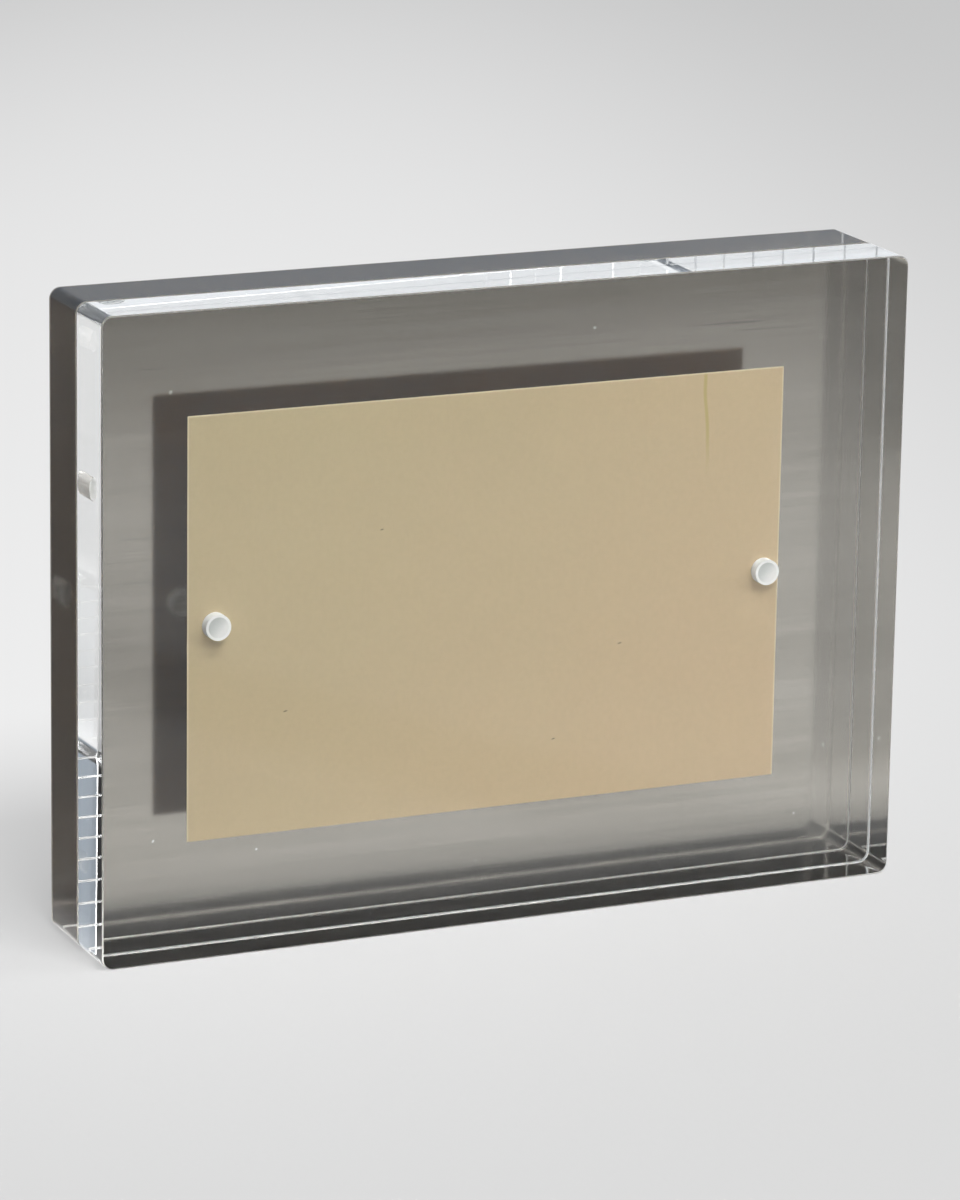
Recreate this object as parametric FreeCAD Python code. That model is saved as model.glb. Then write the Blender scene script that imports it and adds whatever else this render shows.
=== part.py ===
import FreeCAD, Part
import math
import os

# Free-standing block frame: two thick clear blocks held face to face by hidden magnets,
# with a print card between them and a brushed panel bonded to the back.
# Millimetres. X runs along the width, Y from front to back and Z up.
# The origin is the middle of the footprint, at the level of the table.

# Loose print card, clamped a little left of the middle and a little low
card_width = 152.4
card_height = 101.6
card_thickness = 0.3
card_shift_left = 1.3
card_drop = 0.9

# Outline shared by both blocks and the panel: a wide clear border round the card
side_border = 26.05
top_border = 26.2
corner_radius = 2.7

# Clear blocks
front_block_thickness = 16.2
rear_block_thickness = 17.2
edge_bevel = 0.3

# Disc magnets, at mid-height, each pair facing across the card just inside its side edge
magnet_diameter = 6.0
magnet_length = 4.0
magnet_rim_bevel = 0.4
magnet_card_inset = 5.45

# Clear glue that fills the pocket round and behind each magnet
glue_wall = 0.1
glue_floor = 0.1

# Brushed panel and the clear film that bonds it to the rear block
film_thickness = 0.1
panel_thickness = 0.4
panel_bevel = 0.1

# How far a pocket's cutter stands out of the face it enters
cut_overrun = 1.0

# Outline sizes
block_width = card_width + 2 * side_border
block_height = card_height + 2 * top_border

# Places along the depth, from the front face to the back of the panel
front_depth = front_block_thickness + card_thickness
frame_depth = front_depth + rear_block_thickness + film_thickness + panel_thickness
front_face = -frame_depth / 2
card_front = front_face + front_block_thickness
rear_block_front = card_front + card_thickness
film_front = rear_block_front + rear_block_thickness
panel_front = film_front + film_thickness

# Places across the front
magnet_height = block_height / 2
magnet_reach = card_width / 2 - magnet_card_inset
magnet_places = {"left": -magnet_reach, "right": magnet_reach}
card_low = block_height / 2 - card_drop - card_height / 2
card_left = -card_shift_left - card_width / 2

# Magnet and pocket radii
magnet_radius = magnet_diameter / 2
pocket_radius = magnet_radius + glue_wall
pocket_depth = magnet_length + glue_floor


def outline(inset, y):
    """Upright rectangle with round corners at depth y, drawn in by the inset."""
    side = block_width / 2 - inset
    top = block_height - inset
    radius = corner_radius - inset
    centres = [
        (side - radius, top - radius),
        (radius - side, top - radius),
        (radius - side, inset + radius),
        (side - radius, inset + radius),
    ]
    arcs = []
    for corner, (x, z) in enumerate(centres):
        points = []
        for half_turn_share in (0.0, 0.25, 0.5):
            angle = math.pi * (corner / 2 + half_turn_share)
            points.append(FreeCAD.Vector(x + radius * math.cos(angle), y, z + radius * math.sin(angle)))
        arcs.append(points)
    edges = []
    for points, next_points in zip(arcs, arcs[1:] + arcs[:1]):
        edges.append(Part.Arc(*points).toShape())
        edges.append(Part.LineSegment(points[-1], next_points[0]).toShape())
    return Part.Wire(edges)


def plate(inset, y, thickness):
    """Flat plate on the shared outline, from depth y backwards."""
    return Part.Face(outline(inset, y)).extrude(FreeCAD.Vector(0, thickness, 0))


def rim_edges(solid, keep):
    """Edges round the faces of a plate whose depth passes the keep test."""
    chosen = []
    for edge in solid.Edges:
        depths = [vertex.Point.y for vertex in edge.Vertexes]
        if all(keep(depth) for depth in depths):
            chosen.append(edge)
    return chosen


def block_blank(y, thickness):
    """Clear block with a polished bevel round its front and its back."""
    blank = plate(0, y, thickness)
    middle = y + thickness / 2
    front_rim = rim_edges(blank, lambda depth: depth < middle)
    back_rim = rim_edges(blank, lambda depth: depth > middle)
    return blank.makeChamfer(edge_bevel, front_rim + back_rim)


def turned(profile, x):
    """Solid turned about the magnet axis at x, from (radius, depth) points."""
    points = [FreeCAD.Vector(x + radius, depth, magnet_height) for radius, depth in profile]
    axis_point = FreeCAD.Vector(x, 0, magnet_height)
    face = Part.Face(Part.makePolygon(points + points[:1]))
    return face.revolve(axis_point, FreeCAD.Vector(0, 1, 0), 360)


def magnet(x, low):
    """Disc magnet with a bevel round both rims, from depth low backwards."""
    high = low + magnet_length
    flat_radius = magnet_radius - magnet_rim_bevel
    profile = [
        (0, low),
        (flat_radius, low),
        (magnet_radius, low + magnet_rim_bevel),
        (magnet_radius, high - magnet_rim_bevel),
        (flat_radius, high),
        (0, high),
    ]
    return turned(profile, x)


def disc(x, radius, low, high):
    """Plain cylinder on a magnet axis between two depths."""
    start = FreeCAD.Vector(x, low, magnet_height)
    return Part.makeCylinder(radius, high - low, start, FreeCAD.Vector(0, 1, 0))


def front_half():
    """Front block, with its pockets open to the back, its magnets and their glue."""
    pieces = {}
    block = block_blank(front_face, front_block_thickness)
    for side, x in magnet_places.items():
        pocket_floor = card_front - pocket_depth
        block = block.cut(disc(x, pocket_radius, pocket_floor, card_front + cut_overrun))
        pieces["front_magnet_" + side] = magnet(x, card_front - magnet_length)
        filled_pocket = disc(x, pocket_radius, pocket_floor, card_front)
        pieces["front_glue_" + side] = filled_pocket.cut(pieces["front_magnet_" + side])
    pieces["front_block"] = block
    return pieces


def rear_half():
    """Rear block, with its pockets open to the front, its magnets and their glue."""
    pieces = {}
    block = block_blank(rear_block_front, rear_block_thickness)
    for side, x in magnet_places.items():
        pocket_floor = rear_block_front + pocket_depth
        block = block.cut(disc(x, pocket_radius, rear_block_front - cut_overrun, pocket_floor))
        pieces["rear_magnet_" + side] = magnet(x, rear_block_front)
        filled_pocket = disc(x, pocket_radius, rear_block_front, pocket_floor)
        pieces["rear_glue_" + side] = filled_pocket.cut(pieces["rear_magnet_" + side])
    pieces["rear_block"] = block
    return pieces


def bond_film():
    """Clear film on the flat of the rear block's back, inside its bevel."""
    return plate(edge_bevel, film_front, film_thickness)


def back_panel():
    """Brushed sheet flush with the block's sides, its back rim eased."""
    sheet = plate(0, panel_front, panel_thickness)
    middle = panel_front + panel_thickness / 2
    return sheet.makeChamfer(panel_bevel, rim_edges(sheet, lambda depth: depth > middle))


def photo_card():
    """Print card lying flat between the two blocks."""
    corner = FreeCAD.Vector(card_left, card_front, card_low)
    return Part.makeBox(card_width, card_thickness, card_height, corner)


def save(name, shape):
    """Write one node, after making sure that it is a single sound solid."""
    solid = shape.Solids[0]
    if len(shape.Solids) != 1 or not solid.isValid():
        raise ValueError(name + " is not one sound solid")
    solid.exportStep("parts/" + name + ".step")
    box = solid.BoundBox
    print("%-20s %12.3f mm3  %7.2f x %6.2f x %7.2f" % (name, solid.Volume, box.XLength, box.YLength, box.ZLength))


os.makedirs("parts", exist_ok=True)
nodes = {}
nodes.update(front_half())
nodes.update(rear_half())
nodes["bond_film"] = bond_film()
nodes["back_panel"] = back_panel()
nodes["photo_card"] = photo_card()
for node_name in sorted(nodes):
    save(node_name, nodes[node_name])
print("depth of the whole frame: %.2f mm" % frame_depth)
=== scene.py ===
import math

import bmesh
import bpy
from mathutils import Matrix, Vector


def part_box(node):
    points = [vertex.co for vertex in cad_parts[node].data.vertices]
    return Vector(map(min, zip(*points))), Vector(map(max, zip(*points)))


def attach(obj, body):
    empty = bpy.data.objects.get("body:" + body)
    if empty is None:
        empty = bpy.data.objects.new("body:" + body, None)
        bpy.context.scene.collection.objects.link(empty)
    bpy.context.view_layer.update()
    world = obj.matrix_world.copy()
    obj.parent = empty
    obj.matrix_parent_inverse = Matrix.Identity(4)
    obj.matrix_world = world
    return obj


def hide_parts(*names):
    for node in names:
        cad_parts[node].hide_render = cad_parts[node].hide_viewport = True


# Acrylic block frame: polished clear blocks, hidden magnets, a print card and a brushed back panel.
# Metres. X runs along the width, Y from front to back and Z up, as in the frame.

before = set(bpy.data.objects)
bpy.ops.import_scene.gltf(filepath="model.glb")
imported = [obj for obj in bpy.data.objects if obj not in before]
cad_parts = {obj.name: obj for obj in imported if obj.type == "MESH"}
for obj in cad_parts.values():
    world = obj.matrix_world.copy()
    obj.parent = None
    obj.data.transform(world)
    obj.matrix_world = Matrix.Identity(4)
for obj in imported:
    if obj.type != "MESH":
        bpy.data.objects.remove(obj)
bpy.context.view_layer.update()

# Sizes that the frame doesn't say by itself
CORNER_RADIUS = 0.0027
EDGE_BEVEL = 0.0003
PANEL_BEVEL = 0.0001
MAGNET_BEVEL = 0.0004
# Corners of the card, and the tiny easing of the edges of the card, the film and the panel's front
CARD_CORNER = 0.0002
CARD_EASE = 0.00003
FILM_EASE = 0.00001
PANEL_FRONT_EASE = 0.00002
CORNER_STEPS = 24
ROUND_STEPS = 96

# Points nearer than this are one point
WELD = 0.000002

# Optical contact: how far a bonded piece reaches into the clear block that it wets
WETTING = 0.00001
# Air film between the loose card and the blocks
CARD_FILM = 0.00003
# Light gets under the polished base through this film of air
FLOOR_FILM = 0.0002

ACRYLIC_INDEX = 1.49


class Value:
    """One output of a node, which can be used in sums with others or with numbers."""

    def __init__(self, tree, socket):
        self.tree = tree
        self.socket = socket

    def sum(self, operation, first, second=None):
        values = {0: first}
        if second is not None:
            values[1] = second
        return self.tree.add("ShaderNodeMath", {"operation": operation}, values)

    def __add__(self, other):
        return self.sum("ADD", self, other)

    def __radd__(self, other):
        return self.sum("ADD", other, self)

    def __sub__(self, other):
        return self.sum("SUBTRACT", self, other)

    def __rsub__(self, other):
        return self.sum("SUBTRACT", other, self)

    def __mul__(self, other):
        return self.sum("MULTIPLY", self, other)

    def __rmul__(self, other):
        return self.sum("MULTIPLY", other, self)

    def __truediv__(self, other):
        return self.sum("DIVIDE", self, other)

    def __neg__(self):
        return self.sum("MULTIPLY", self, -1.0)

    def __abs__(self):
        return self.sum("ABSOLUTE", self)


class Tree:
    """A node tree, for a material, the world or a shape, built one node at a time."""

    def __init__(self, tree):
        self.tree = tree
        self.tree.nodes.clear()

    def find(self, sockets, key):
        """A socket by its number, its identifier or its name, in that order."""
        if isinstance(key, int):
            return sockets[key]
        for socket in sockets:
            if socket.identifier == key:
                return socket
        return sockets[key]

    def add(self, kind, settings=None, values=None, out=0):
        """One node: its settings first, then the values or links of its sockets."""
        node = self.tree.nodes.new(kind)
        for name, setting in (settings or {}).items():
            if name == "stops":
                ramp = node.color_ramp
                while len(ramp.elements) < len(setting):
                    ramp.elements.new(0.5)
                for stop, (place, colour) in zip(ramp.elements, setting):
                    stop.position = place
                    stop.color = colour
            else:
                setattr(node, name, setting)
        for key, value in (values or {}).items():
            socket = self.find(node.inputs, key)
            for each in value if isinstance(value, list) else [value]:
                if isinstance(each, Value):
                    self.tree.links.new(each.socket, socket)
                else:
                    socket.default_value = each
        return Value(self, self.find(node.outputs, out)) if node.outputs else None


def shape_tree(name, inputs):
    """An empty shape tree with named inputs, and those inputs as values."""
    group = bpy.data.node_groups.new(name, "GeometryNodeTree")
    for label, kind in inputs:
        group.interface.new_socket(name=label, in_out="INPUT", socket_type=kind)
    group.interface.new_socket(name="Shape", in_out="OUTPUT", socket_type="NodeSocketGeometry")
    tree = Tree(group)
    source = group.nodes.new("NodeGroupInput")
    values = {label: Value(tree, source.outputs[label]) for label, kind in inputs}
    return tree, values


def finish_shape(tree, geometry, material):
    """Ends a shape tree in real geometry with its material."""
    solid = tree.add("GeometryNodeRealizeInstances", values={"Geometry": geometry})
    dressed = tree.add("GeometryNodeSetMaterial", values={"Geometry": solid, "Material": material})
    tree.add("NodeGroupOutput", values={"Shape": dressed})


def run_tree(name, tree, settings):
    """Runs a shape tree once and keeps what it makes as a plain mesh object."""
    holder = bpy.data.objects.new(name + "_maker", bpy.data.meshes.new(name + "_maker"))
    bpy.context.collection.objects.link(holder)
    modifier = holder.modifiers.new("shape", "NODES")
    modifier.node_group = tree.tree
    for item in tree.tree.interface.items_tree:
        if item.in_out == "INPUT":
            modifier[item.identifier] = settings[item.name]
    evaluated = holder.evaluated_get(bpy.context.evaluated_depsgraph_get())
    mesh = bpy.data.meshes.new_from_object(evaluated)
    mesh.name = name
    bpy.data.objects.remove(holder)
    piece = bpy.data.objects.new(name, mesh)
    bpy.context.collection.objects.link(piece)
    return piece


def close_up(piece, sharp_degrees=20.0):
    """Welds a made mesh, turns its faces outwards and gives its flats true flat shading."""
    work = bmesh.new()
    work.from_mesh(piece.data)
    bmesh.ops.remove_doubles(work, verts=work.verts, dist=WELD)
    bmesh.ops.dissolve_degenerate(work, edges=work.edges, dist=WELD / 2.0)
    bmesh.ops.recalc_face_normals(work, faces=work.faces)
    loose = [vertex for vertex in work.verts if not vertex.link_faces]
    bmesh.ops.delete(work, geom=loose, context="VERTS")
    work.to_mesh(piece.data)
    work.free()
    piece.data.shade_smooth()
    piece.data.set_sharp_from_angle(angle=math.radians(sharp_degrees))
    weighted = piece.modifiers.new("flats", "WEIGHTED_NORMAL")
    weighted.keep_sharp = True
    weighted.weight = 100
    evaluated = piece.evaluated_get(bpy.context.evaluated_depsgraph_get())
    mesh = bpy.data.meshes.new_from_object(evaluated)
    piece.modifiers.clear()
    old = piece.data
    piece.data = mesh
    bpy.data.meshes.remove(old)
    mesh.name = piece.name
    return piece


def outline_curve(tree, width, height, radius):
    """Rectangle with round corners, flat on the tree's own XY plane."""
    plain = tree.add(
        "GeometryNodeCurvePrimitiveQuadrilateral", {"mode": "RECTANGLE"}, {"Width": width, "Height": height}
    )
    return tree.add(
        "GeometryNodeFilletCurve",
        {"mode": "POLY"},
        {"Curve": plain, "Radius": radius, "Count": CORNER_STEPS, "Limit Radius": True},
    )


def moved(tree, geometry, x=0.0, y=0.0, z=0.0):
    """The geometry shifted by three lengths, each a number or a value."""
    shift = tree.add("ShaderNodeCombineXYZ", values={"X": x, "Y": y, "Z": z})
    return tree.add("GeometryNodeTransform", values={"Geometry": geometry, "Translation": shift})


def plate_tree(pockets):
    """Plate with round corners and a bevel round each face, and, if asked, two round pockets."""
    sizes = ["Width", "Height", "Thickness", "Corner Radius", "Low Bevel", "High Bevel"]
    if pockets:
        sizes += ["Pocket Radius", "Pocket Depth", "Pocket Reach"]
    inputs = [(size, "NodeSocketFloat") for size in sizes] + [("Material", "NodeSocketMaterial")]
    tree, given = shape_tree("bored_plate" if pockets else "plain_plate", inputs)
    thickness = given["Thickness"]
    outline = outline_curve(tree, given["Width"], given["Height"], given["Corner Radius"])
    # The side wall and its two bevels are one open profile, carried round the outline
    profile = [
        {"X": -given["Low Bevel"]},
        {"Y": -given["Low Bevel"]},
        {"Y": given["High Bevel"] - thickness},
        {"X": -given["High Bevel"], "Y": -thickness},
    ]
    points = [tree.add("ShaderNodeCombineXYZ", values=point) for point in profile]
    strips = []
    for start, end in zip(points, points[1:]):
        line = tree.add("GeometryNodeCurvePrimitiveLine", values={"Start": start, "End": end})
        strips.append(tree.add("GeometryNodeCurveToMesh", values={"Curve": outline, "Profile Curve": line}))
    wall = tree.add("GeometryNodeJoinGeometry", values={"Geometry": strips})
    wall = tree.add("GeometryNodeMergeByDistance", values={"Geometry": wall, "Distance": WELD})
    # Each face fills the rim that the wall leaves open there
    place = tree.add("GeometryNodeInputPosition")
    depth = tree.add("ShaderNodeSeparateXYZ", values={"Vector": place}, out="Z")
    neighbours = tree.add("GeometryNodeInputMeshEdgeNeighbors")
    open_edge = tree.add(
        "FunctionNodeCompare", {"data_type": "INT", "operation": "EQUAL"}, {"A_INT": neighbours, "B_INT": 1}
    )
    shells = [wall]
    for is_low in (True, False):
        here = tree.add(
            "FunctionNodeCompare",
            {"data_type": "FLOAT", "operation": "LESS_THAN" if is_low else "GREATER_THAN"},
            {"A": depth, "B": thickness * 0.5},
        )
        rim = tree.add("FunctionNodeBooleanMath", {"operation": "AND"}, {0: open_edge, 1: here})
        loops = [tree.add("GeometryNodeMeshToCurve", values={"Mesh": wall, "Selection": rim})]
        if is_low and pockets:
            mouth = tree.add(
                "GeometryNodeCurvePrimitiveCircle",
                {"mode": "RADIUS"},
                {"Resolution": ROUND_STEPS, "Radius": given["Pocket Radius"]},
            )
            loops += [moved(tree, mouth, x=given["Pocket Reach"] * side) for side in (-1.0, 1.0)]
        joined = tree.add("GeometryNodeJoinGeometry", values={"Geometry": loops})
        face = tree.add("GeometryNodeFillCurve", {"mode": "TRIANGLES"}, {"Curve": joined})
        shells.append(moved(tree, face, z=0.0 if is_low else thickness))
    if pockets:
        # Behind each mouth, a wall and a flat floor
        mouth = tree.add(
            "GeometryNodeMeshCircle",
            {"fill_type": "NONE"},
            {"Vertices": ROUND_STEPS, "Radius": given["Pocket Radius"]},
        )
        floor = tree.add(
            "GeometryNodeMeshCircle",
            {"fill_type": "NGON"},
            {"Vertices": ROUND_STEPS, "Radius": given["Pocket Radius"]},
        )
        inwards = tree.add("ShaderNodeCombineXYZ", values={"Z": given["Pocket Depth"]})
        bore = tree.add(
            "GeometryNodeExtrudeMesh",
            {"mode": "EDGES"},
            {"Mesh": mouth, "Offset": inwards, "Offset Scale": 1.0},
        )
        for side in (-1.0, 1.0):
            shells.append(moved(tree, bore, x=given["Pocket Reach"] * side))
            shells.append(moved(tree, floor, x=given["Pocket Reach"] * side, z=given["Pocket Depth"]))
    whole = tree.add("GeometryNodeJoinGeometry", values={"Geometry": shells})
    finish_shape(tree, whole, given["Material"])
    return tree


def turned_tree(name, steps):
    """A pair of turned parts: a disc raised step by step, each step a rise and a new radius."""
    sizes = ["Reach", "Start Radius"]
    for number in range(len(steps)):
        sizes += ["Rise %d" % number, "Radius %d" % number]
    inputs = [(size, "NodeSocketFloat") for size in sizes] + [("Material", "NodeSocketMaterial")]
    tree, given = shape_tree(name, inputs)
    disc = tree.add(
        "GeometryNodeMeshCircle",
        {"fill_type": "NGON"},
        {"Vertices": ROUND_STEPS, "Radius": given["Start Radius"]},
    )
    body = disc
    selection = True
    radius = given["Start Radius"]
    for number in range(len(steps)):
        rise = tree.add("ShaderNodeCombineXYZ", values={"Z": given["Rise %d" % number]})
        raised = tree.add(
            "GeometryNodeExtrudeMesh",
            {"mode": "FACES"},
            {"Mesh": body, "Selection": selection, "Offset": rise, "Offset Scale": 1.0, "Individual": False},
        )
        selection = Value(tree, raised.socket.node.outputs["Top"])
        wanted = given["Radius %d" % number]
        body = tree.add(
            "GeometryNodeScaleElements",
            {"domain": "FACE"},
            {"Geometry": raised, "Selection": selection, "Scale": wanted / radius},
        )
        radius = wanted
    base = tree.add("GeometryNodeFlipFaces", values={"Mesh": disc})
    closed = tree.add("GeometryNodeJoinGeometry", values={"Geometry": [body, base]})
    left = tree.add("ShaderNodeCombineXYZ", values={"X": -given["Reach"]})
    step = tree.add("ShaderNodeCombineXYZ", values={"X": given["Reach"] * 2.0})
    spots = tree.add(
        "GeometryNodeMeshLine", {"mode": "OFFSET"}, {"Count": 2, "Start Location": left, "Offset": step}
    )
    pair = tree.add("GeometryNodeInstanceOnPoints", values={"Points": spots, "Instance": closed})
    finish_shape(tree, pair, given["Material"])
    return tree


def surface(name, **constants):
    """A material with one Principled surface: constants on its sockets, then a tree to paint with."""
    material = bpy.data.materials.new(name)
    material.use_nodes = True
    tree = Tree(material.node_tree)
    shader = tree.add("ShaderNodeBsdfPrincipled")
    for label, value in constants.items():
        shader.socket.node.inputs[label.replace("_", " ")].default_value = value
    tree.add("ShaderNodeOutputMaterial", values={"Surface": shader})
    return material, tree, shader.socket.node


def paint(tree, shader, label, value):
    """Feeds one socket of the surface from the tree."""
    tree.tree.links.new(value.socket, shader.inputs[label])


def least(first, second):
    """The smaller of two values."""
    return first.sum("MINIMUM", first, second)


def most(first, second):
    """The larger of two values."""
    return first.sum("MAXIMUM", first, second)


def root(value):
    """The square root of a value."""
    return value.sum("SQRT", value)


def parts_of(tree, vector, letters):
    """The named parts of a vector, as values."""
    return [tree.add("ShaderNodeSeparateXYZ", values={"Vector": vector}, out=letter) for letter in letters]


def spot_on(tree, letters):
    """Where a point lies on its object, in metres, along the named directions."""
    return parts_of(tree, tree.add("ShaderNodeTexCoord", out="Object"), letters)


def facing_back(tree):
    """How far a face looks to the back: 1 fully, 0 sideways and -1 to the front."""
    return parts_of(tree, tree.add("ShaderNodeNewGeometry", out="True Normal"), "Y")[0]


def noise(tree, scale, detail=2.0, roughness=0.5, seed=0.0):
    """Noise between 0 and 1 over the stretched object place; the seed shifts it."""
    spot = tree.add("ShaderNodeTexCoord", out="Object")
    spread = tree.add(
        "ShaderNodeMapping", values={"Vector": spot, "Location": (seed, seed, seed), "Scale": scale}
    )
    return tree.add(
        "ShaderNodeTexNoise",
        values={"Vector": spread, "Scale": 1.0, "Detail": detail, "Roughness": roughness},
    )


def ramp(tree, value, low, high, to_low=0.0, to_high=1.0):
    """Carries a value from one range smoothly into another."""
    return tree.add(
        "ShaderNodeMapRange",
        {"interpolation_type": "SMOOTHSTEP"},
        {"Value": value, "From Min": low, "From Max": high, "To Min": to_low, "To Max": to_high},
    )


def tint(tree, factor, first, second):
    """Colour between two colours, each given as numbers or as a value."""
    return tree.add(
        "ShaderNodeMix",
        {"data_type": "RGBA"},
        {"Factor_Float": factor, "A_Color": first, "B_Color": second},
        out="Result_Color",
    )


def bump(tree, height, strength, distance):
    """Surface direction from a height."""
    return tree.add("ShaderNodeBump", values={"Height": height, "Strength": strength, "Distance": distance})


def grey_tone(level):
    """Plain grey of one level."""
    return (level, level, level, 1.0)


def linear(red, green, blue):
    """Colour from screen values of 0 to 255."""
    out = []
    for level in (red, green, blue):
        share = level / 255.0
        out.append(share / 12.92 if share <= 0.04045 else ((share + 0.055) / 1.055) ** 2.4)
    return tuple(out) + (1.0,)


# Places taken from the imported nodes
front_low, front_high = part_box("front_block")
rear_low, rear_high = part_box("rear_block")
panel_low, panel_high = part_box("back_panel")
film_low, film_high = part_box("bond_film")
card_low, card_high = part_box("photo_card")
magnet_low, magnet_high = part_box("front_magnet_right")
glue_low, glue_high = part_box("front_glue_right")

width = front_high[0] - front_low[0]
height = front_high[2] - front_low[2]
middle_height = (front_high[2] + front_low[2]) / 2.0
magnet_reach = (magnet_low[0] + magnet_high[0]) / 2.0
magnet_radius = (magnet_high[0] - magnet_low[0]) / 2.0
magnet_length = magnet_high[1] - magnet_low[1]
pocket_radius = (glue_high[0] - glue_low[0]) / 2.0
pocket_depth = glue_high[1] - glue_low[1]

# A made plate lies in its own XY plane and is stood up here, its depth running back or forward
FACING_FRONT = Matrix(((1, 0, 0, 0), (0, 0, -1, 0), (0, 1, 0, 0), (0, 0, 0, 1)))
FACING_BACK = Matrix(((-1, 0, 0, 0), (0, 0, 1, 0), (0, 1, 0, 0), (0, 0, 0, 1)))


def stand(piece, turn, x, y, z):
    """Stands a made piece up at its place, in its mesh."""
    piece.data.transform(Matrix.Translation(Vector((x, y, z))) @ turn)
    piece.data.update()
    return piece


def clear_acrylic(name):
    """Cast acrylic: flat polished faces, polished sides and bevels left a little matt."""
    faintly_green = (0.985, 0.995, 0.992, 1.0)
    material, tree, shader = surface(
        name, Transmission_Weight=1.0, IOR=ACRYLIC_INDEX, Roughness=0.0, Base_Color=faintly_green
    )
    flat = abs(facing_back(tree))
    side = ramp(tree, flat, 0.2, 0.1)
    bevel = ramp(tree, flat, 0.4, 0.5) * ramp(tree, flat, 0.95, 0.85)
    lines = noise(tree, (30.0, 1500.0, 30.0), 2.0, 0.5, 3.1)
    paint(tree, shader, "Normal", bump(tree, lines * side, 0.01, 0.00002))
    nicks = noise(tree, (160.0, 160.0, 160.0), 3.0, 0.6, 8.4)
    # The front block's bevels are the duller ones
    spot_y = spot_on(tree, "Y")[0]
    dull = ramp(tree, spot_y, rear_low[1], front_high[1], 0.6, 1.0)
    paint(tree, shader, "Roughness", bevel * dull * (0.52 + nicks * 0.2))
    return material


def brushed_aluminium(name):
    """Brushed sheet: hairlines along the width, soft dull patches and a few short scratches."""
    material, tree, shader = surface(name, Metallic=1.0, Roughness=0.12)
    fine = noise(tree, (9.0, 9.0, 5200.0), 2.0, 0.7, 1.7)
    broad = noise(tree, (5.0, 5.0, 700.0), 3.0, 0.6, 5.2)
    bands = noise(tree, (7.0, 7.0, 130.0), 4.0, 0.6, 3.3)
    cloud = noise(tree, (14.0, 14.0, 22.0), 3.0, 0.5, 9.6)
    grain = noise(tree, (2600.0, 2600.0, 2600.0), 1.0, 0.5, 6.1)
    hairs = fine * 0.6 + broad * 0.4
    streaks = ramp(tree, hairs * 0.5 + bands * 0.5, 0.32, 0.68)
    grey = tint(tree, streaks, linear(191, 184, 174), linear(211, 204, 195))
    # Short dark scratches, few and far between
    scratches = noise(tree, (26.0, 26.0, 1500.0), 0.0, 0.5, 12.7)
    few = noise(tree, (11.0, 11.0, 60.0), 1.0, 0.5, 20.3)
    dark = ramp(tree, scratches, 0.76, 0.82) * ramp(tree, few, 0.52, 0.62)
    worn = tint(tree, dark * 0.3, grey, linear(120, 116, 110))
    # Specks of dust caught in the bond
    dust = noise(tree, (420.0, 420.0, 420.0), 0.0, 0.5, 31.9)
    bonded = ramp(tree, facing_back(tree), -0.4, -0.6)
    speck = ramp(tree, dust, 0.86, 0.88) * bonded
    paint(tree, shader, "Base Color", tint(tree, speck, worn, linear(250, 248, 244)))
    paint(tree, shader, "Roughness", 0.10 + hairs * 0.02 + cloud * 0.015)
    paint(tree, shader, "Normal", bump(tree, hairs + grain * 0.09, 0.36, 0.00001))
    return material


def card_stock(name):
    """Uncoated card: beige with fibres, a few specks, a faint crease in painted shade, pale cut edges and a
    brown back.
    """
    material, tree, shader = surface(name, Roughness=0.75)
    spot_x, spot_z = spot_on(tree, "XZ")
    across = ramp(tree, spot_x, card_low[0], card_high[0])
    down = ramp(tree, spot_z, card_high[2], card_low[2])
    cloud = noise(tree, (22.0, 22.0, 22.0), 2.0, 0.5, 1.1)
    warm = across * 0.55 + down * 0.35 + cloud * 0.3 - 0.1
    beige = tint(tree, warm, linear(206, 189, 150), linear(215, 189, 152))
    fibre = noise(tree, (900.0, 900.0, 900.0), 4.0, 0.6, 2.3)
    beige = tint(tree, ramp(tree, fibre, 0.3, 0.7, 0.0, 0.10), beige, linear(176, 158, 122))
    # Small dark specks: place across, place up and half length, each a short flat stroke
    specks = [(-0.0530, 0.0545, 0.0006), (0.0160, 0.0405, 0.0005)]
    specks += [(0.0330, 0.0625, 0.0006), (-0.0290, 0.0960, 0.0005)]
    for speck_x, speck_z, half in specks:
        along = (spot_x - speck_x) / half
        over = (spot_z - speck_z - along * 0.0001) / 0.00014
        far = along * along + over * over
        beige = tint(tree, ramp(tree, far, 1.2, 0.5, 0.0, 0.85), beige, linear(84, 76, 60))
    # Faint olive crease, painted as shade, that runs down from the top edge and dies away
    wander = noise(tree, (60.0, 60.0, 60.0), 1.0, 0.5, 5.5)
    aside = abs(spot_x - 0.0530 - wander * 0.0030)
    fading = ramp(tree, spot_z, card_high[2] - 0.027, card_high[2] - 0.012)
    painted_crease_shade = ramp(tree, aside, 0.0007, 0.0002) * fading
    beige = tint(tree, painted_crease_shade * 0.6, beige, linear(188, 170, 92))
    # Pale cut edge along the left, the top and the right
    inside = least(spot_x - card_low[0], card_high[0] - spot_x)
    inside = least(inside, card_high[2] - spot_z)
    beige = tint(tree, ramp(tree, inside, 0.00045, 0.00015, 0.0, 0.7), beige, linear(238, 226, 196))
    board = tint(tree, fibre, linear(130, 102, 74), linear(148, 117, 87))
    paint(tree, shader, "Base Color", tint(tree, ramp(tree, facing_back(tree), 0.4, 0.6), beige, board))
    paint(tree, shader, "Normal", bump(tree, fibre, 0.15, 0.00003))
    return material


def magnet_plating(name):
    """Nickel plating, a little uneven."""
    material, tree, shader = surface(name, Metallic=1.0, Roughness=0.2)
    dull = noise(tree, (500.0, 500.0, 500.0), 3.0, 0.5, 4.4)
    paint(tree, shader, "Base Color", tint(tree, dull, linear(214, 213, 208), linear(232, 231, 226)))
    paint(tree, shader, "Roughness", 0.14 + dull * 0.12)
    return material


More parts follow.
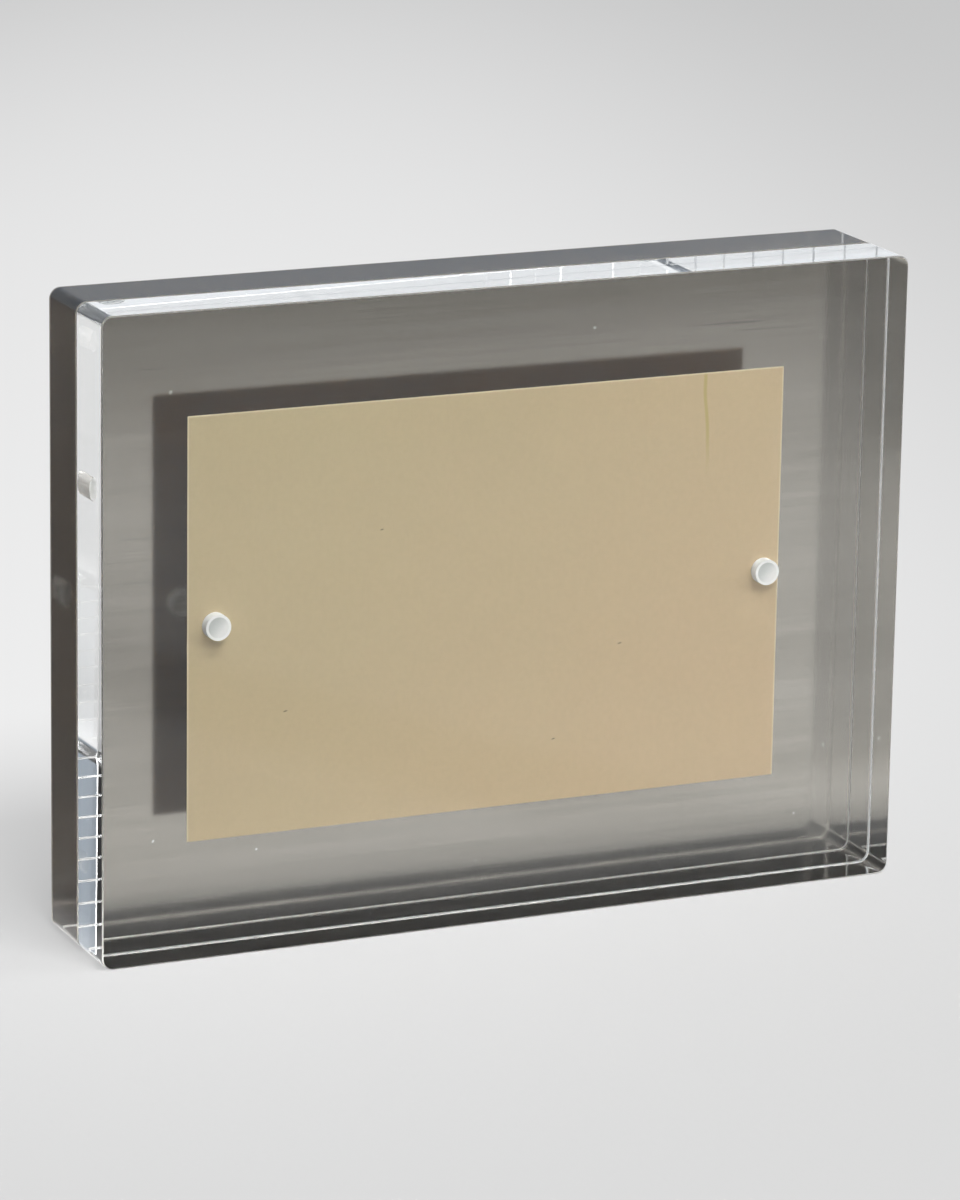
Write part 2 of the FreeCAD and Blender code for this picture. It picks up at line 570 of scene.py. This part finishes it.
def milky_glue(name):
    """Set glue: white round the rim of the magnet; its face is greyer high on one side, which is painted
    shade.
    """
    material, tree, shader = surface(name, Roughness=0.35, IOR=1.45)
    cloud = noise(tree, (700.0, 700.0, 700.0), 2.0, 0.5, 6.6)
    spot_x, spot_z = spot_on(tree, "XZ")
    is_right = ramp(tree, spot_x, -0.001, 0.001)
    out_x = spot_x - magnet_reach * (is_right * 2.0 - 1.0)
    out_z = spot_z - middle_height
    reach = root(out_x * out_x + out_z * out_z)
    # Painted shade: the face greys towards its upper left, as shade in its recess would
    painted_shade_slant = ramp(tree, out_x - out_z + cloud * 0.0008, -0.0024, 0.0030)
    face = tint(tree, painted_shade_slant, linear(206, 210, 206), linear(253, 253, 250))
    rim = ramp(tree, reach, 0.00235, 0.0026)
    paint(tree, shader, "Base Color", tint(tree, rim, face, linear(253, 253, 251)))
    paint(tree, shader, "Alpha", 0.90 + rim * 0.08 + cloud * 0.02)
    return material


def clear_film(name):
    """Bonding film, wetted on both faces, so almost nothing of it shows."""
    material, tree, shader = surface(name, Roughness=0.3, IOR=1.45, Base_Color=(0.9, 0.9, 0.9, 1.0))
    cloud = noise(tree, (60.0, 60.0, 60.0), 3.0, 0.5, 7.7)
    paint(tree, shader, "Alpha", 0.01 + cloud * 0.03)
    return material


acrylic = clear_acrylic("clear_acrylic")
aluminium = brushed_aluminium("brushed_aluminium")
paper = card_stock("card_stock")
nickel = magnet_plating("magnet_plating")
glue = milky_glue("milky_glue")
film = clear_film("clear_film")

# Clear blocks with their blind pockets
bored = plate_tree(True)
block_sizes = {
    "Width": width,
    "Height": height,
    "Thickness": front_high[1] - front_low[1],
    "Corner Radius": CORNER_RADIUS,
    "Low Bevel": EDGE_BEVEL,
    "High Bevel": EDGE_BEVEL,
    "Pocket Radius": pocket_radius,
    "Pocket Depth": pocket_depth,
    "Pocket Reach": magnet_reach,
    "Material": acrylic,
}
front_block = close_up(run_tree("front_block_clear", bored, block_sizes))
stand(front_block, FACING_FRONT, 0.0, front_high[1], middle_height)
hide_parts("front_block")
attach(front_block, "front_half")

# The rear block is wetted to the panel through the film
rear_sizes = dict(block_sizes, Thickness=panel_low[1] + WETTING - rear_low[1])
rear_block = close_up(run_tree("rear_block_clear", bored, rear_sizes))
stand(rear_block, FACING_BACK, 0.0, rear_low[1], middle_height)
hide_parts("rear_block")
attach(rear_block, "rear_half")

# Panel, film and card are plain plates
plain = plate_tree(False)


def plain_piece(name, low, high, corner, low_bevel, high_bevel, material):
    """A plain plate that fills a box, its bevels at the front and at the back."""
    sizes = {
        "Width": high[0] - low[0],
        "Height": high[2] - low[2],
        "Thickness": high[1] - low[1],
        "Corner Radius": corner,
        "Low Bevel": low_bevel,
        "High Bevel": high_bevel,
        "Material": material,
    }
    piece = close_up(run_tree(name, plain, sizes))
    return stand(piece, FACING_BACK, (low[0] + high[0]) / 2.0, low[1], (low[2] + high[2]) / 2.0)


panel = plain_piece(
    "brushed_panel", panel_low, panel_high, CORNER_RADIUS, PANEL_FRONT_EASE, PANEL_BEVEL, aluminium
)
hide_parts("back_panel")
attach(panel, "rear_half")

film_piece = plain_piece(
    "bonding_film", film_low, film_high, CORNER_RADIUS - EDGE_BEVEL, FILM_EASE, FILM_EASE, film
)
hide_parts("bond_film")
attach(film_piece, "rear_half")

card_front = Vector(card_low) + Vector((0.0, CARD_FILM, 0.0))
card_back = Vector(card_high) - Vector((0.0, CARD_FILM, 0.0))
card = plain_piece("print_card", card_front, card_back, CARD_CORNER, CARD_EASE, CARD_EASE, paper)
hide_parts("photo_card")
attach(card, "card")

# Magnets: a disc raised past its bevel, its wall and its bevel again
magnet_steps = [
    (MAGNET_BEVEL, magnet_radius),
    (magnet_length - 2.0 * MAGNET_BEVEL, magnet_radius),
    (MAGNET_BEVEL, magnet_radius - MAGNET_BEVEL),
]
# Glue: up the outside of the cup, in over its lip and down its inside
glue_steps = [
    (pocket_depth + WETTING, pocket_radius + WETTING),
    (0.0, magnet_radius),
    (-magnet_length, magnet_radius),
]
magnet_shape = turned_tree("disc_magnets", magnet_steps)
glue_shape = turned_tree("glue_cups", glue_steps)


def turned_pair(name, tree, steps, start_radius, material):
    """Both turned parts of one half, made by the tree from its steps."""
    sizes = {"Reach": magnet_reach, "Start Radius": start_radius, "Material": material}
    for number, (rise, radius) in enumerate(steps):
        sizes["Rise %d" % number] = rise
        sizes["Radius %d" % number] = radius
    return close_up(run_tree(name, tree, sizes))


halves = [("front", front_high[1], FACING_FRONT), ("rear", rear_low[1], FACING_BACK)]
for half, mating_face, outwards in halves:
    side = 1.0 if half == "rear" else -1.0
    magnets = turned_pair(
        half + "_magnets", magnet_shape, magnet_steps, magnet_radius - MAGNET_BEVEL, nickel
    )
    stand(magnets, outwards, 0.0, mating_face, middle_height)
    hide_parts(half + "_magnet_left", half + "_magnet_right")
    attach(magnets, half + "_half")
    # The cup's closed end lies deep in the block, so it is raised towards the mating face
    inwards = FACING_BACK if half == "front" else FACING_FRONT
    cups = turned_pair(half + "_glue_cups", glue_shape, glue_steps, pocket_radius + WETTING, glue)
    stand(cups, inwards, 0.0, mating_face + side * (pocket_depth + WETTING), middle_height)
    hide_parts(half + "_glue_left", half + "_glue_right")
    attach(cups, half + "_half")


# Highest painted tone of the table in gloss
BRIGHTEST = 1.3


def show_rays(tree):
    """Two masks: the eye's rays, straight through one block too, and those off gloss or bent more often."""
    kinds = ("Is Camera Ray", "Is Glossy Ray", "Is Transmission Ray", "Ray Depth")
    eye, gloss, through, depth = [tree.add("ShaderNodeLightPath", out=kind) for kind in kinds]
    # In at one face and straight out at another makes two bounces
    straight = through * tree.add("ShaderNodeMath", {"operation": "LESS_THAN"}, {0: depth, 1: 2.5})
    return eye + straight, most(gloss, through) - straight


def table_top():
    """Pale table that keeps soft shadows; to gloss and bent rays it glows with painted light that grows dim
    towards the room in front of it, with painted shade, painted shadows and a painted bright pool under the
    blocks.
    """
    material = bpy.data.materials.new("pale_table")
    material.use_nodes = True
    tree = Tree(material.node_tree)
    spot_x, spot_y = spot_on(tree, "XY")
    # Painted tones of the table as gloss shows it: painted falloff from the dim front edge to the bright
    # middle, and painted contact shade just in front of the blocks
    painted_gloss_tones = [(-0.65, 0.20), (-0.54, 0.40), (-0.50, 0.45), (-0.45, 0.55), (-0.38, 0.61), (-0.28, 0.64)]
    painted_gloss_tones += [(-0.13, 0.67), (-0.085, 0.74), (-0.052, 0.75), (-0.036, 0.70), (-0.026, 0.56), (-0.020, 0.40)]
    nearest, farthest = -0.65, 0.05
    stops = [((place - nearest) / (farthest - nearest), grey_tone(tone)) for place, tone in painted_gloss_tones]
    forwards = tree.add(
        "ShaderNodeMapRange", values={"Value": spot_y, "From Min": nearest, "From Max": farthest}
    )
    front = tree.add("ShaderNodeValToRGB", {"stops": stops}, {"Fac": forwards})
    # Painted shade: the left of the front is a little dimmer
    front = front * ramp(tree, spot_x, -0.10, 0.12, 0.88, 1.0)
    # Painted shade: the part of the table that the right-hand edge mirrors to the camera is a little dimmer
    aside = abs(spot_x - spot_y * 0.45 - 0.100)
    painted_dim_strip = ramp(tree, aside, 0.040, 0.015) * ramp(tree, spot_y, -0.05, -0.09)
    front = front * (1.0 - painted_dim_strip * 0.31)
    # Painted light: from the blocks' front edge back, the table's tone is bright
    behind = ramp(tree, spot_y, -0.019, -0.0165, 0.0, 0.93)
    front = most(front, behind)
    # Painted shadow: left of the object the table is dim, with a soft edge that widens towards the back
    away = ramp(tree, spot_y, 0.0, 1.0)
    inwards = (spot_x + 0.115 + away * 0.3) / (away * 0.9 + 0.015)
    painted_shadow_left = ramp(tree, inwards, 0.0, 1.0, 0.24, 1.0)
    level = least(front, painted_shadow_left)
    # Painted shade: behind the object it is a little dim too, but for its right-hand side
    under = ramp(tree, spot_y, 0.06, 0.03)
    right = ramp(tree, spot_x, 0.09, 0.15, 0.75, 1.04)
    level = level * most(under, right)
    # Painted pool of light: right under the blocks it is brightest, which shows in their top faces
    out_x = abs(spot_x)
    out_y = abs(spot_y)
    level = level + ramp(tree, out_x, 0.12, 0.10) * ramp(tree, out_y, 0.019, 0.017) * 0.35
    # A mix holds its factor to 1, so the painted light level is taken as a share of its highest tone
    painted_gloss_light = tint(tree, level / BRIGHTEST, grey_tone(0.0), grey_tone(BRIGHTEST))
    camera, gloss = show_rays(tree)
    pale = tree.add("ShaderNodeBsdfDiffuse", values={"Color": grey_tone(0.36), "Roughness": 0.3})
    # Painted glow: to the eye the table is brightest behind the left-hand side, and the painted glow trails
    # off to the back
    along = spot_x * 0.41 + spot_y * 0.91 - 0.30
    along = least(along, along * 0.35)
    beside = spot_x * 1.36 - spot_y * 0.62 + 0.18
    far = root(along * along + beside * beside)
    shine = ramp(tree, far, 0.15, 0.60)
    painted_glow = tint(tree, shine, grey_tone(1.0), grey_tone(0.63))
    painted_eye_glow = tree.add("ShaderNodeEmission", values={"Color": painted_glow, "Strength": 1.0})
    painted_gloss_glow = tree.add("ShaderNodeEmission", values={"Color": painted_gloss_light, "Strength": 1.0})
    shown = tree.add("ShaderNodeMixShader", values={0: camera * 0.5, 1: pale, 2: painted_eye_glow})
    shown = tree.add("ShaderNodeMixShader", values={0: gloss, 1: shown, 2: painted_gloss_glow})
    tree.add("ShaderNodeOutputMaterial", values={"Surface": shown})
    return material


mesh = bpy.data.meshes.new("table")
reach = 8.0
corners = [(-reach, -reach), (reach, -reach), (reach, reach), (-reach, reach)]
mesh.from_pydata([(x, y, -FLOOR_FILM) for x, y in corners], [], [(0, 1, 2, 3)])
mesh.update()
table = bpy.data.objects.new("table", mesh)
bpy.context.collection.objects.link(table)
mesh.materials.append(table_top())


def room_light():
    """The room: pale to the eye, with cool daylight low at the back and a dim front."""
    world = bpy.data.worlds.new("room")
    world.use_nodes = True
    tree = Tree(world.node_tree)
    way_y, way_z = parts_of(tree, tree.add("ShaderNodeTexCoord", out="Generated"), "YZ")
    back = ramp(tree, way_y, -0.5, 0.5)
    high = ramp(tree, way_z, 0.39, 0.75)
    low = tint(tree, back, grey_tone(0.004), (0.38, 0.43, 0.49, 1.0))
    above = tint(tree, back, grey_tone(0.42), grey_tone(0.62))
    room = tint(tree, high, low, above)
    camera = show_rays(tree)[0]
    shown = tint(tree, camera, room, grey_tone(0.80))
    light = tree.add("ShaderNodeBackground", values={"Color": shown, "Strength": 1.0})
    tree.add("ShaderNodeOutputWorld", values={"Surface": light})
    return world


scene = bpy.context.scene
scene.world = room_light()


def softbox(name, place, aim, across, up, watts):
    """Wide soft lamp at a place, turned towards a point."""
    data = bpy.data.lights.new(name, "AREA")
    data.shape = "RECTANGLE"
    data.size = across
    data.size_y = up
    data.energy = watts
    lamp = bpy.data.objects.new(name, data)
    lamp.location = place
    direction = Vector(aim) - Vector(place)
    lamp.rotation_euler = direction.to_track_quat("-Z", "Y").to_euler()
    bpy.context.collection.objects.link(lamp)


softbox("key", (0.15, -1.75, 2.4), (0.0, 0.0, 0.06), 1.8, 1.0, 144.0)
softbox("side", (2.1, -0.8, 1.0), (0.0, 0.0, 0.06), 1.2, 0.9, 60.0)

# Camera at the photograph's place
right = Vector((0.91236472, -0.40906892, 0.01591347))
down = Vector((-0.09224145, -0.24329204, -0.96555709))
forward = Vector((0.39885102, 0.87947234, -0.25970418))
lens = bpy.data.cameras.new("photo_camera")
lens.sensor_fit = "VERTICAL"
lens.sensor_height = 24.0
lens.lens = 112.52
lens.clip_start = 0.05
lens.clip_end = 50.0
camera = bpy.data.objects.new("photo_camera", lens)
turn = Matrix((right, -down, -forward)).transposed().to_4x4()
camera.matrix_world = Matrix.Translation((-0.53197, -1.17183, 0.42059)) @ turn
bpy.context.collection.objects.link(camera)
scene.camera = camera

scene.view_settings.view_transform = "Standard"
scene.cycles.max_bounces = 48
scene.cycles.glossy_bounces = 40
scene.cycles.transmission_bounces = 48
scene.cycles.transparent_max_bounces = 24
scene.cycles.diffuse_bounces = 4
